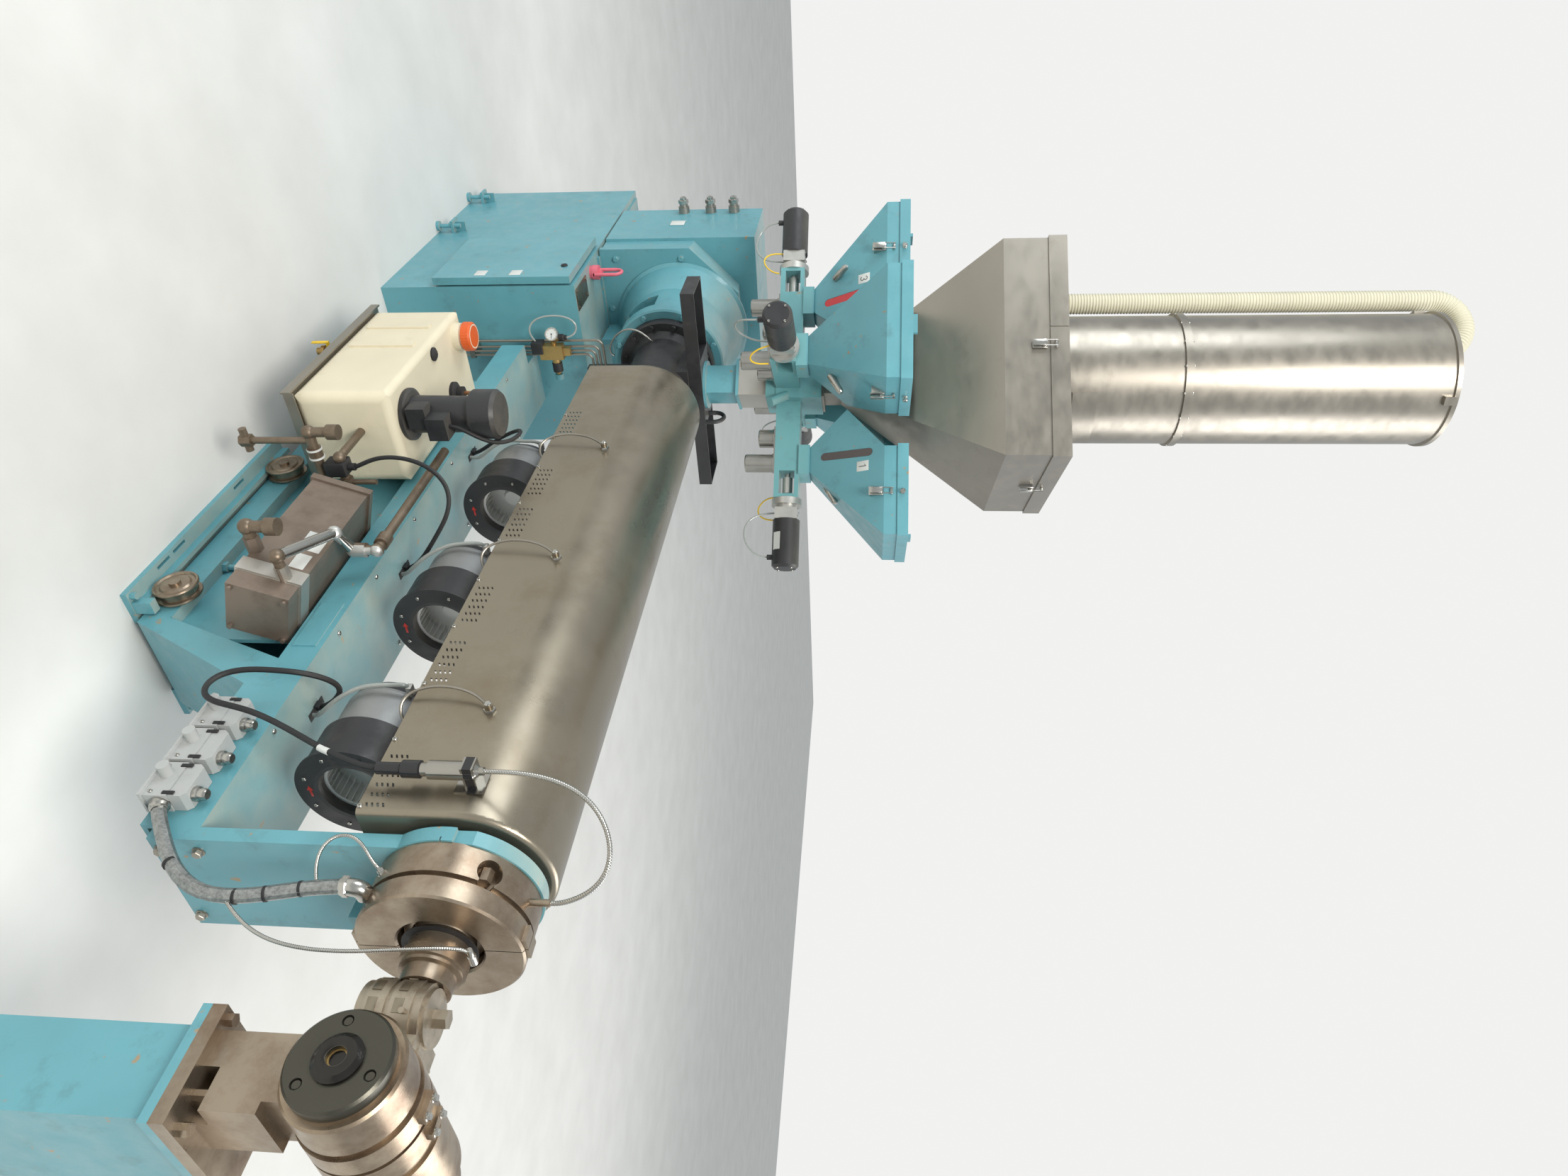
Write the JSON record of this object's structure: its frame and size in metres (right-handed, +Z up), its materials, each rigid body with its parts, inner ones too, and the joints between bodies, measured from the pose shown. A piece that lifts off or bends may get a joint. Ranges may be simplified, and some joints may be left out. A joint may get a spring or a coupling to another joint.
{
  "type": "single-screw plastic extruder",
  "caption": "Teal single-screw plastic extruder on a narrow base frame with air-cooled barrel, dosing feed station, hopper loader, water unit and side-fed die.",
  "frame": {"origin": "on the floor, in the middle of the machine's length, on the barrel's centre line seen from above", "axes": "+X along the barrel from the gear unit toward the die; +Y to the far side, away from the water tank; +Z up"},
  "size_m": [4, 1.0616, 3.741],
  "materials": {
    "teal_paint": "semi-gloss teal machine enamel, dusty and scuffed",
    "motor_paint": "teal enamel on the drive motor",
    "pink_paint": "pink powder-coated lifting eye",
    "black_steel": "black paint and blackened steel",
    "black_motor": "satin black motor shells",
    "worn_steel": "heat-stained bare steel with some rust",
    "cover_sheet": "stained stainless sheet with brown marks",
    "bright_steel": "stainless and galvanised steel",
    "die_steel": "brown heat-stained die steel with a black face",
    "ribbed_hose": "cream ribbed suction hose",
    "tank_plastic": "cream polyethylene tank",
    "copper_pipe": "dull brown copper and brass piping",
    "brass_fitting": "dull brass valve bodies",
    "grey_plastic": "grey die-cast connector hoods"
  },
  "bodies": {
    "frame": {"base_frame": "teal_paint", "floor_rails": "teal_paint", "travel_wheels": "worn_steel", "base_cabinet": "teal_paint", "gearbox": "teal_paint", "gearbox_cover": "teal_paint", "drive_motor": "motor_paint", "lifting_eye": "pink_paint", "feed_housing": "black_steel", "feed_throat": "teal_paint", "slide_tray": "black_steel", "barrel": "worn_steel", "barrel_cover": "cover_sheet", "fan_housings": "black_steel", "fan_motors": "bright_steel", "fan_baskets": "bright_steel", "front_support": "teal_paint", "head_flange": "worn_steel", "clamp_ring": "worn_steel", "adapter_neck": "worn_steel", "valve_block": "bright_steel", "die_body": "die_steel", "die_seat": "worn_steel", "die_pedestal": "teal_paint", "main_hopper": "bright_steel", "hopper_lid": "bright_steel", "loader_cylinder": "bright_steel", "loader_top": "bright_steel", "loader_hose": "ribbed_hose", "dosing_frame": "teal_paint", "dosing_hoppers": "teal_paint", "dosing_lids": "teal_paint", "dosing_motors": "black_motor", "dosing_gearheads": "bright_steel", "sample_cups": "bright_steel", "water_tank": "tank_plastic", "tank_tray": "bright_steel", "tank_pump": "black_motor", "heat_exchanger": "worn_steel", "water_pipes": "copper_pipe", "tube_bundle": "bright_steel", "valve_manifold": "brass_fitting", "junction_box": "grey_plastic", "pressure_sensor": "bright_steel", "sensor_leads": "bright_steel"},
    "door": {"cabinet_door": "teal_paint"}
  },
  "joints": [
    {"name": "cabinet_door_hinge", "type": "hinge", "parent": "frame", "child": "door", "pos_m": [-1.316, -0.324, 0.442], "axis": [0, 0, -1], "range_deg": [0, 100]}
  ]
}
